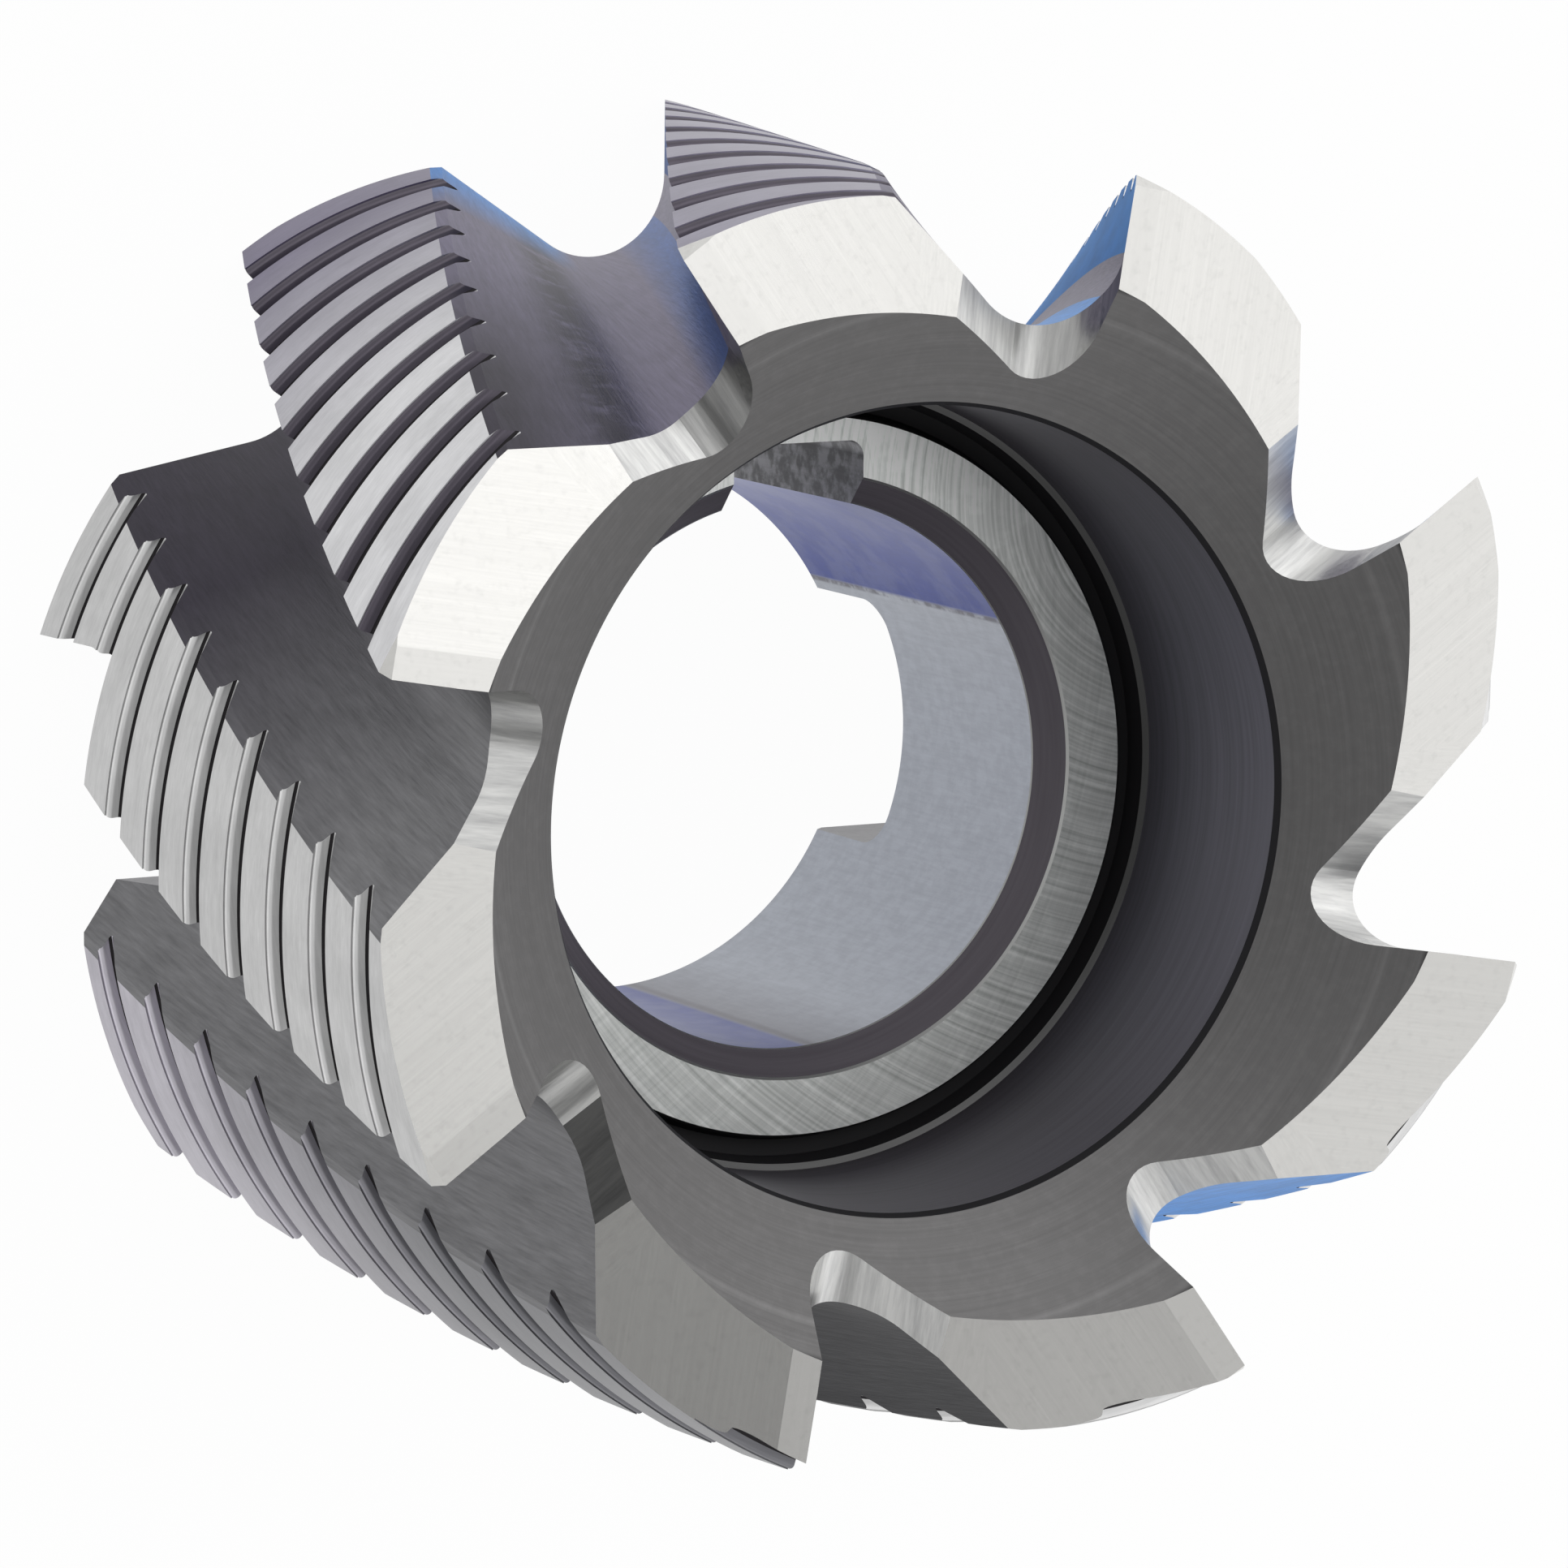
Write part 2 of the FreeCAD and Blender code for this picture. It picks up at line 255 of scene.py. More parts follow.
def turned(points, angle):
    """The points turned about the Z axis: x' = x cos a - y sin a, y' = x sin a + y cos a."""
    points = np.asarray(points, float)
    x, y = points[..., 0], points[..., 1]
    c, s = np.cos(angle), np.sin(angle)
    return np.stack([x * c - y * s, x * s + y * c, *np.moveaxis(points[..., 2:], -1, 0)], axis=-1)


def line(p, q, parts):
    """p + (q - p) t for t from 0 to just under 1."""
    t = np.linspace(0, 1, parts, endpoint=False)[:, None]
    return p + (q - p) * t


def arc(centre, p, q, parts, clockwise=False):
    """centre + radius (cos a, sin a), with a going evenly from p's angle to just under q's."""
    a = math.atan2(*(p - centre)[::-1])
    b = math.atan2(*(q - centre)[::-1])
    sweep = (b - a) % math.tau - (math.tau if clockwise else 0)
    radius = np.linalg.norm(p - centre)
    return centre + polar(radius, a + sweep * np.linspace(0, 1, parts, endpoint=False))


def touching(point, centre, radius, side):
    """Where a line from the point touches a circle: the triangle's angle at the centre is acos(r / d)."""
    away = point - centre
    base = math.atan2(away[1], away[0])
    return centre + polar(radius, base + side * math.acos(radius / np.linalg.norm(away)))


def off_centre(p, q, radius):
    """The centre, on the origin's side, of the circle of this radius through p and q."""
    along = q - p
    half = np.linalg.norm(along) / 2
    normal = np.array([-along[1], along[0]]) / (2 * half)
    rise = math.sqrt(radius ** 2 - half ** 2)
    centres = [(p + q) / 2 + normal * rise * side for side in (1, -1)]
    return min(centres, key=np.linalg.norm)


def labelled(pieces):
    """One closed outline from (surface name, point or points) pairs, with each point's slot number."""
    stretches = [np.reshape(points, (-1, 2)) for _, points in pieces]
    labels = [np.full(len(points), SLOT[name]) for points, (name, _) in zip(stretches, pieces)]
    return np.concatenate(stretches), np.concatenate(labels)


def solid(surface, labels, wrap=False, cap=0):
    """Vertices, faces and slot numbers of a closed solid. Each row of the surface is a closed outline, and
    faces join each row to the next. The last row joins the first, or both ends get a cap."""
    rows, columns, _ = surface.shape
    index = np.arange(rows * columns).reshape(rows, columns)
    if wrap:
        index = np.concatenate([index, index[:1]])
    beside = np.roll(index, -1, axis=1)
    quads = np.stack([index[:-1], beside[:-1], beside[1:], index[1:]], axis=-1).reshape(-1, 4)
    faces = quads.tolist()
    slots = np.tile(labels, len(index) - 1)
    if not wrap:
        faces += [index[0].tolist()[::-1], index[-1].tolist()]
        slots = np.concatenate([slots, [cap, cap]])
    vertices = surface.reshape(-1, 3)
    # six times the volume, from the tetrahedra between the origin and the triangles of every face
    fans = [vertices[quads], *(vertices[[face]] for face in faces[len(quads):])]
    size = sum((fan[:, :1] * np.cross(fan[:, 1:-1], fan[:, 2:])).sum() for fan in fans)
    if size < 0:
        faces = [face[::-1] for face in faces]
    return vertices, faces, slots


def joined(solids):
    """Several solids that don't touch, as one."""
    vertices, faces, slots, start = [], [], [], 0
    for points, sides, numbers in solids:
        vertices.append(points)
        faces += [[start + i for i in side] for side in sides]
        slots.append(numbers)
        start += len(points)
    return np.concatenate(vertices), faces, np.concatenate(slots)


def helix_pitch(s):
    """Turn of the teeth in radians for each metre of height: tan(helix angle) / outer radius."""
    return math.tan(s.helix_angle) / (s.outside_diameter / 2)


def tooth_frame(s):
    """The points that the tooth section and the grooves are measured from, with one tip on the X axis."""
    step = math.tau / s.teeth
    tip = polar(s.outside_diameter / 2, 0)
    heel = polar(s.heel_radius, s.flute_angle)
    bevel = polar(s.bevel_radius, s.bevel_angle)
    root = np.array([s.root_out, s.root_side])
    own_heel = turned(heel, -step)
    return {
        "step": step, "tip": tip, "heel": heel, "bevel": bevel, "root": root, "own_heel": own_heel,
        "rake_end": touching(tip, root, s.root_radius, -1),
        "flank_end": touching(bevel, root, s.root_radius, 1),
        "land_centre": off_centre(tip, own_heel, s.land_radius),
    }


def helical_body(s):
    """The section of all the teeth (rake line, root arc, flank, heel bevel, off-centre land arc), where the
    row at height z is turned by z times the helix pitch."""
    t = tooth_frame(s)
    next_tip = turned(t["tip"], t["step"])
    tooth, labels = labelled([
        ("rake", line(t["tip"], t["rake_end"], RAKE_PARTS)),
        ("flute", arc(t["root"], t["rake_end"], t["flank_end"], ROOT_PARTS, clockwise=True)),
        ("flute", line(t["flank_end"], t["bevel"], FLANK_PARTS)),
        ("flute", line(t["bevel"], t["heel"], BEVEL_PARTS)),
        ("land", arc(turned(t["land_centre"], t["step"]), t["heel"], next_tip, LAND_PARTS)),
    ])
    section = np.concatenate([turned(tooth, i * t["step"]) for i in range(s.teeth)])
    over = 1 * MM
    z = np.linspace(-over, s.length + over, BODY_ROWS)[:, None]
    turn = s.front_tip + (z - s.length) * helix_pitch(s)
    flat = turned(section[None], turn)
    surface = np.concatenate([flat, np.broadcast_to(z[..., None], (*flat.shape[:2], 1))], axis=-1)
    return solid(surface, np.tile(labels, s.teeth))


def turned_blank(s):
    """A closed profile (radius, height) carried round the axis."""
    bore = s.bore_diameter / 2
    outer = s.outside_diameter / 2
    over = 0.02 * MM
    edge = s.edge_break
    mouth = s.length - s.cone_drop
    seat = s.seat_height
    low = seat - s.undercut_depth
    lip, splay = 0.3 * MM, 0.25 * MM
    line_above, line_below = 0.1 * MM, 0.05 * MM
    slant = math.hypot(s.ring_radius - s.mouth_radius, s.cone_drop)
    cone_in = (s.ring_radius - s.mouth_radius) / slant * edge
    cone_up = s.cone_drop / slant * edge
    pieces = [
        ("back", bore + s.back_bore_chamfer, 0),
        ("back", outer - s.back_chamfer, 0),
        ("land", outer + over, s.back_chamfer),
        ("end facet", outer + over, s.length - s.corner_chamfer - over),
        ("end land", outer - s.corner_chamfer, s.length),
        ("cone", s.ring_radius, s.length),
        ("undercut", s.mouth_radius + cone_in, mouth + cone_up),
        ("counterbore", s.counterbore_radius, mouth - lip),
        ("rim line", s.counterbore_radius, seat + line_above),
        # the undercut round the seat, painted nearly black as shade
        ("undercut", s.undercut_radius, seat - line_below),
        ("undercut", s.undercut_radius - splay, low),
        ("undercut", s.seat_radius + splay, low),
        ("rim line", s.seat_radius, seat - edge),
        ("seat", s.seat_radius - edge, seat),
        # small rounded edges that carry a painted highlight
        ("bright edge", bore + s.bore_chamfer + edge, seat),
        ("bore chamfer", bore + s.bore_chamfer, seat - edge),
        ("bright edge", bore + edge / 2, seat - s.bore_chamfer - edge / 2),
        ("bore", bore, seat - s.bore_chamfer - edge),
        ("back", bore, s.back_bore_chamfer),
    ]
    labels = np.array([SLOT[name] for name, _, _ in pieces])
    profile = np.array([[r, 0, z] for _, r, z in pieces])
    around = np.linspace(0, math.tau, TURNED_PARTS, endpoint=False)[:, None]
    surface = turned(np.broadcast_to(profile, (TURNED_PARTS, *profile.shape)), around)
    return solid(surface, labels, wrap=True)


def prism(outline, labels, start, end, along, cap):
    """An outline in the plane square to an axis, carried from start to end on that axis."""
    rows = [np.insert(outline, "xyz".index(along), place, axis=1) for place in (start, end)]
    return solid(np.array(rows), labels, cap=SLOT[cap])


def placed_at_tooth(s, shape, number, slope):
    """Tips a shape outwards, turns it forward and sets it at a tooth's corner on the cutting end."""
    vertices, faces, slots = shape
    place = (
        Matrix.Rotation(s.front_tip + number * math.tau / s.teeth, 4, "Z")
        @ Matrix.Translation((s.outside_diameter / 2 - s.corner_chamfer, 0, s.length))
        @ Matrix.Rotation(s.gash_turn, 4, "Z")
        @ Matrix.Rotation(slope, 4, "Y")
    )
    matrix = np.array(place)
    return vertices @ matrix[:3, :3].T + matrix[:3, 3], faces, slots


def gash_tool(s):
    """Across a gash: steep wall, floor arc, long slope and the closed space above."""
    radius = s.gash_round
    tan_lean, cos_lean = math.tan(s.gash_lean), math.cos(s.gash_lean)
    centre_h = radius - s.gash_drop
    centre = np.array([centre_h * tan_lean + radius / cos_lean, centre_h])
    start = centre + radius * np.array([-cos_lean, math.sin(s.gash_lean)])
    end = centre + radius * np.array([math.sin(s.gash_back), -math.cos(s.gash_back)])
    ceiling = 4 * MM
    run = 12 * MM
    inwards, outwards = -14 * MM, 16 * MM
    top = [start[0] + (ceiling - start[1]) * tan_lean, ceiling]
    far = end + run * np.array([math.cos(s.gash_back), math.sin(s.gash_back)])
    outline, labels = labelled([
        ("gash wall", top),
        ("gash floor", arc(centre, start, end, GASH_PARTS)),
        ("gash", [end, far, [far[0], ceiling]]),
    ])
    return prism(outline, labels, inwards, outwards, "x", "gash")


def relief_tool(s):
    """What is ground off one end land: a narrow facet behind the edge, then a steeper slope."""
    reach = 13.6 * MM
    ahead, above, hair = 0.4 * MM, 2 * MM, 0.0001 * MM
    inwards, outwards = -14 * MM, 4 * MM
    fall = s.primary_width * math.tan(s.primary_relief)
    deep = fall + (reach - s.primary_width) * math.tan(s.end_relief)
    outline, labels = labelled([
        ("end facet", [[ahead, hair], [0, 0]]),
        ("end land", [[-s.primary_width, -fall], [-reach, -deep], [-reach, above], [ahead, above]]),
    ])
    return prism(outline, labels, inwards, outwards, "x", "end land")


def groove_tools(s):
    """Rings about each land's own centre: a steep wall at the back, a floor arc and a ramp, carried round
    from behind the heel to past the tip, one below another a pitch apart and staggered from land to land."""
    t = tooth_frame(s)
    behind, beyond = math.radians(5.5), math.radians(2.2)
    front_margin, back_margin = 0.15 * MM, 0.35 * MM
    proud = 0.01 * MM
    foot_turn = -0.9
    low = s.land_radius - s.groove_depth
    top = s.land_radius + 0.8 * MM
    lean = math.atan(s.groove_lean / s.groove_depth)
    radius = s.groove_round
    out = np.array([math.sin(lean), math.cos(lean)])

    def on_wall(r):
        return np.array([r, (s.land_radius - r) * math.tan(lean)])

    start = on_wall(low + radius * (1 - math.sin(lean)))
    centre = start + radius * out
    middle = centre + turned(start - centre, foot_turn)
    end = centre + radius * np.array([-math.cos(s.groove_ramp), math.sin(s.groove_ramp)])
    crest = on_wall(s.land_radius + proud - s.groove_crest * (1 - math.sin(lean)))
    crest_centre = crest - s.groove_crest * out
    crest_top = crest_centre + np.array([s.groove_crest, 0])
    ramp_top = [top, end[1] + (top - end[0]) / math.tan(s.groove_ramp)]
    profile, labels = labelled([
        ("land", [top, crest_top[1]]),
        # The rounded crest takes the groove edge's painted highlight, and the foot arc takes the groove
        # line's painted shade in the crease
        ("groove edge", arc(crest_centre, crest_top, crest, CREST_PARTS)),
        ("groove edge", crest),
        ("groove line", arc(centre, start, middle, FOOT_PARTS, clockwise=True)),
        ("groove", arc(centre, middle, end, FLOOR_PARTS, clockwise=True)),
        ("groove", [end, ramp_top]),
    ])
    width = end[1] + (s.land_radius - end[0]) / math.tan(s.groove_ramp)
    first = math.atan2(*(t["own_heel"] - t["land_centre"])[::-1]) - behind
    last = math.atan2(*(t["tip"] - t["land_centre"])[::-1]) + beyond
    around = np.linspace(first, last, GROOVE_PARTS)[:, None]
    flat = np.stack([profile[:, 0], np.zeros(len(profile)), profile[:, 1]], axis=-1)
    ring = turned(np.broadcast_to(flat, (GROOVE_PARTS, *flat.shape)), around) + [*t["land_centre"], 0]
    tools = []
    for tooth in range(s.teeth):
        height = s.length + s.groove_phase - tooth * s.groove_pitch / s.teeth
        while height > s.length - front_margin:
            height -= s.groove_pitch
        while height > back_margin:
            turn = s.front_tip + tooth * t["step"] + helix_pitch(s) * (height + width / 2 - s.length)
            tools.append(solid(turned(ring, turn) + [0, 0, height], labels, cap=SLOT["groove"]))
            height -= s.groove_pitch
    return joined(tools)


def rounded_channel(width, depth, corner, mouth):
    """Half of a rectangle's outline with two rounded corners, from the mouth to the depth and back."""
    half = width / 2
    inner = depth - corner
    left = np.array([-half + corner, inner])
    right = np.array([half - corner, inner])
    return np.concatenate([
        [[half, mouth]],
        arc(right, np.array([half, inner]), np.array([half - corner, depth]), CORNER_PARTS),
        arc(left, np.array([-half + corner, depth]), np.array([-half, inner]), CORNER_PARTS),
        [[-half, inner], [-half, mouth]],
    ])


def keyway_tool(s):
    """The keyway's outline, carried along the axis."""
    floor = s.keyway_height - s.bore_diameter / 2
    outline = rounded_channel(s.keyway_width, floor, s.keyway_corner, 0)
    labels = np.full(len(outline), SLOT["keyway"])
    return prism(outline, labels, -1 * MM, s.length + 1 * MM, "z", "keyway")


def slot_tool(s):
    """The drive slot's outline, carried across the back."""
    outline = rounded_channel(s.slot_width, s.slot_depth, s.slot_corner, -1 * MM)
    labels = np.full(len(outline), SLOT["drive slot"])
    return prism(outline, labels, -s.outside_diameter, s.outside_diameter, "x", "drive slot")


# Meshes

def new_object(name, data):
    thing = bpy.data.objects.new(name, data)
    bpy.context.scene.collection.objects.link(thing)
    return thing


def mesh_object(name, shape, materials):
    vertices, faces, slots = shape
    mesh = bpy.data.meshes.new(name)
    mesh.from_pydata(vertices.tolist(), [], faces)
    for material in materials:
        mesh.materials.append(material)
    mesh.polygons.foreach_set("material_index", np.asarray(slots, np.int32))
    mesh.update()
    return new_object(name, mesh)


def combine(body, tool, operation):
    change = body.modifiers.new(tool.name, "BOOLEAN")
    change.operation = operation
    change.object = tool
    change.solver = "MANIFOLD"
    change.material_mode = "INDEX"


def settled(body, tools, name):
    """The body with its cuts made, as a new plain object; the tools are removed."""
    graph = bpy.context.evaluated_depsgraph_get()
    mesh = bpy.data.meshes.new_from_object(body.evaluated_get(graph), depsgraph=graph)
    mesh.name = name
    for thing in [body, *tools]:
        bpy.data.objects.remove(thing)
    return new_object(name, mesh)


def values_of(items, name, kind=np.int32, width=1):
    """One value of all the items, as an array."""
    values = np.empty(len(items) * width, kind)
    items.foreach_get(name, values)
    return values


def shade(mesh):
    """Smooth faces, with a sharp edge where the surface changes or the faces turn by more than an angle."""
    faces = mesh.polygons
    normals = values_of(faces, "normal", np.float32, 3).reshape(-1, 3)
    slots = values_of(faces, "material_index")
    edges = values_of(mesh.loops, "edge_index")
    owner = np.repeat(np.arange(len(faces)), values_of(faces, "loop_total"))
    order = np.argsort(edges, kind="stable")
    one, other = owner[order].reshape(-1, 2).T
    bend = (normals[one] * normals[other]).sum(axis=1) < math.cos(SHARP_ANGLE)
    sharp = np.zeros(len(mesh.edges), bool)
    sharp[edges[order][::2]] = (slots[one] != slots[other]) | bend
    faces.foreach_set("use_smooth", np.ones(len(faces), bool))
    mark = mesh.attributes.get("sharp_edge") or mesh.attributes.new("sharp_edge", "BOOLEAN", "EDGE")
    mark.data.foreach_set("value", sharp)
    mesh.update()


# Node trees

class Wiring:
    """Short calls for one node tree. A value may be a number, a colour or another node's output."""

    def __init__(self, tree):
        self.tree = tree
        tree.nodes.clear()

    def add(self, kind, inputs=(), **settings):
        node = self.tree.nodes.new(kind)
        for name, value in settings.items():
            setattr(node, name, value)
        for name, value in dict(inputs).items():
            self.feed(node.inputs[name], value)
        return node

    def feed(self, socket, value):
        if isinstance(value, bpy.types.NodeSocket):
            self.tree.links.new(value, socket)
        elif socket.type == "RGBA" and len(value) == 3:
            socket.default_value = (*value, 1)
        else:
            socket.default_value = value

    def math(self, operation, *values):
        return self.add("ShaderNodeMath", dict(enumerate(values)), operation=operation).outputs[0]

    def product(self, first, *others):
        for other in others:
            first = self.math("MULTIPLY", first, other)
        return first

    def gap(self, value, centre):
        return self.math("ABSOLUTE", self.math("SUBTRACT", value, centre))

    def here(self):
        return self.add("ShaderNodeTexCoord").outputs["Object"]

    def axes(self, vector):
        return self.add("ShaderNodeSeparateXYZ", {"Vector": vector}).outputs

    def vector(self, x, y, z):
        return self.add("ShaderNodeCombineXYZ", {"X": x, "Y": y, "Z": z}).outputs[0]

    def noise(self, vector, scale, detail=2.0, roughness=0.55, fourth=None):
        inputs = {"Vector": vector, "Scale": scale, "Detail": detail, "Roughness": roughness}
        size = "3D"
        if fourth is not None:
            inputs["W"] = fourth
            size = "4D"
        return self.add("ShaderNodeTexNoise", inputs, noise_dimensions=size).outputs["Fac"]

    def between(self, value, low, high, kind="LINEAR"):
        """0 where the value is at low, 1 where it is at high."""
        inputs = {"Value": value, "From Min": low, "From Max": high}
        return self.add("ShaderNodeMapRange", inputs, interpolation_type=kind).outputs["Result"]

    def mix(self, factor, a, b, kind="MIX"):
        inputs = {0: factor, 6: a, 7: b}
        return self.add("ShaderNodeMix", inputs, data_type="RGBA", blend_type=kind).outputs[2]

    def group(self, tree, inputs=()):
        return self.add("ShaderNodeGroup", inputs, node_tree=tree).outputs


def new_group(name, inputs, outputs):
    """A node group, its wiring and what it is given. Its inputs are numbers where they have a default value
    and vectors where they have none, and its outputs are numbers."""
    tree = bpy.data.node_groups.new(name, "ShaderNodeTree")
    for label, default in inputs.items():
        kind = "NodeSocketVector" if default is None else "NodeSocketFloat"
        socket = tree.interface.new_socket(label, in_out="INPUT", socket_type=kind)
        if default is not None:
            socket.default_value = default
    for label in outputs:
        tree.interface.new_socket(label, in_out="OUTPUT", socket_type="NodeSocketFloat")
    w = Wiring(tree)
    return tree, w, w.add("NodeGroupInput").outputs


def place_group(s):
    """Where a point lies on the cutter: radius and height in millimetres, angle round the axis, and the
    tooth that it belongs to, counted forward from the first tip with the helix taken out."""
    tree, w, _ = new_group("Place on the cutter", {}, ["Radius", "Azimuth", "Height", "Tooth"])
    axes = w.axes(w.here())
    x, y, z = (w.product(axes[i], 1 / MM) for i in range(3))
    radius = w.math("SQRT", w.math("ADD", w.product(x, x), w.product(y, y)))
    azimuth = w.math("ARCTAN2", y, x)
    fall = w.math("SUBTRACT", s.length / MM, z)
    unwound = w.math("MULTIPLY_ADD", fall, helix_pitch(s) * MM, azimuth)
    count = w.math("DIVIDE", w.math("SUBTRACT", unwound, s.front_tip), math.tau / s.teeth)
    tooth = w.math("WRAP", count, float(s.teeth), 0.0)
    w.add("NodeGroupOutput", {"Radius": radius, "Azimuth": azimuth, "Height": z, "Tooth": tooth})
    return tree


def marks_group():
    """Long fine marks that a tool leaves, in a fine and a coarse layer: noise that changes slowly over X and
    Y, along the marks, and fast over Z and the fourth value, across them."""
    inputs = {"Run": None, "Across": 0.0, "Spacing": 1.0, "Length": 12.0}
    tree, w, given = new_group("Tool marks", inputs, ["Marks", "Bands"])
    run, spacing = w.axes(given["Run"]), given["Spacing"]
    scales = (given["Length"], given["Length"], spacing)
    where = w.vector(*(w.math("DIVIDE", run[i], scale) for i, scale in enumerate(scales)))
    across = w.math("DIVIDE", given["Across"], spacing)
    marks = w.noise(where, 1.0, detail=3.0, roughness=0.65, fourth=across)
    bands = w.noise(where, 0.23, fourth=across)
    w.add("NodeGroupOutput", {"Marks": marks, "Bands": bands})
    return tree


def stain_group():
    """Cloudy patches with soft edges, for thin tints and handling marks."""
    tree, w, given = new_group("Stains", {"Size": 3.0, "Level": 0.5}, ["Mask"])
    cloud = w.noise(w.here(), w.math("DIVIDE", 1 / MM, given["Size"]), detail=4.0, roughness=0.6)
    low = w.math("SUBTRACT", given["Level"], 0.12)
    high = w.math("ADD", given["Level"], 0.12)
    w.add("NodeGroupOutput", {"Mask": w.between(cloud, low, high, "SMOOTHSTEP")})
    return tree


def new_material(name):
    material = bpy.data.materials.new(name)
    material.use_nodes = True
    return material


class Finish(Wiring):
    """The wiring of one material of the cutter, with where a point of it lies and the groups that all the
    materials share."""

    def __init__(self, name, sizes, groups):
        self.material = new_material(name)
        super().__init__(self.material.node_tree)
        self.s = sizes
        self.groups = groups
        self.place = self.group(groups["place"])

    def end(self, colour, roughness, metallic, height, bump, depth):
        """The material with its shader, and a bump of this strength and depth in millimetres."""
        inputs = {"Strength": bump, "Distance": depth * MM, "Height": height}
        normal = self.add("ShaderNodeBump", inputs).outputs["Normal"]
        inputs = {"Base Color": colour, "Roughness": roughness, "Metallic": metallic, "Normal": normal}
        surface = self.add("ShaderNodeBsdfPrincipled", inputs).outputs["BSDF"]
        self.add("ShaderNodeOutputMaterial", {"Surface": surface})
        self.material.diffuse_color = (0.5, 0.5, 0.5, 1)
        return self.material

    def run(self, direction):
        """Millimetre coordinates: X and Y go along the tool marks, Z and the second output across them. The
        direction is a name, or the marks' slope on the flutes in degrees."""
        s = self.s
        radius, azimuth, height = (self.place[name] for name in ("Radius", "Azimuth", "Height"))
        if direction == "round":
            x, y = (self.product(self.math(kind, azimuth), 20.0) for kind in ("COSINE", "SINE"))
            return self.vector(x, y, height), radius
        if direction == "up":
            return self.vector(height, 0.0, self.product(azimuth, radius)), radius
        if direction in SWEEPS:
            step = math.tau / s.teeth
            first = math.radians(SWEEPS[direction])
            turn = self.math("SUBTRACT", azimuth, s.front_tip + s.gash_turn)
            number = self.math("FLOOR", self.math("DIVIDE", self.math("SUBTRACT", turn, first), step))
            turn = self.math("WRAP", turn, first + step, first)
            along, aside = (self.product(radius, self.math(kind, turn)) for kind in ("COSINE", "SINE"))
            return self.vector(along, 0.0, aside), self.math("MULTIPLY_ADD", number, 31.7, height)
        across = self.product(self.place["Tooth"], math.tau / s.teeth * s.heel_radius / MM)
        c, d = math.cos(math.radians(direction)), math.sin(math.radians(direction))
        along = self.math("ADD", self.product(height, c), self.product(across, d))
        aside = self.math("SUBTRACT", self.product(across, c), self.product(height, d))
        return self.vector(along, 0.0, aside), radius

    def marked(self, direction, spacing, length):
        """The fine and the coarse tool marks, their spacing and length in millimetres."""
        run, across = self.run(direction)
        inputs = {"Run": run, "Across": across, "Spacing": spacing, "Length": length}
        made = self.group(self.groups["marks"], inputs)
        return made["Marks"], made["Bands"]

    def streaks(self, direction, spacing, length, share):
        """This share of the fine marks with the rest of the coarse ones."""
        marks, bands = self.marked(direction, spacing, length)
        return self.math("MULTIPLY_ADD", marks, share, self.product(bands, 1 - share))

    def stained(self, size, level):
        return self.group(self.groups["stain"], {"Size": size, "Level": level})["Mask"]

    def by_tooth(self, ahead, colours):
        """One colour for each tooth, from the point that lies ahead of its tip by this share of a step."""
        teeth = self.s.teeth
        count = self.math("WRAP", self.math("ADD", self.place["Tooth"], ahead), float(teeth), 0.0)
        ramp = self.add("ShaderNodeValToRGB", {"Fac": self.math("DIVIDE", count, teeth)})
        stops = ramp.color_ramp
        stops.interpolation = "CONSTANT"
        for i, colour in enumerate(colours):
            stop = stops.elements[0] if i == 0 else stops.elements.new(i / len(colours))
            stop.position = i / len(colours)
            stop.color = (*colour, 1)
        stops.elements.remove(stops.elements[-1])
        return ramp.outputs["Color"]

    def shaded(self, colour, factor, low, high):
        """The colour made darker or lighter, from low to high as the factor goes from 0 to 1."""
        inputs = {0: colour, "Scale": self.math("MULTIPLY_ADD", factor, high - low, low)}
        return self.add("ShaderNodeVectorMath", inputs, operation="SCALE").outputs["Vector"]

    def streaked(self, colour, marks, low, high):
        return self.shaded(colour, self.between(marks, 0.3, 0.7), low, high)

    def mottled(self, colour, size, level, low, high):
        return self.shaded(colour, self.stained(size, level), low, high)


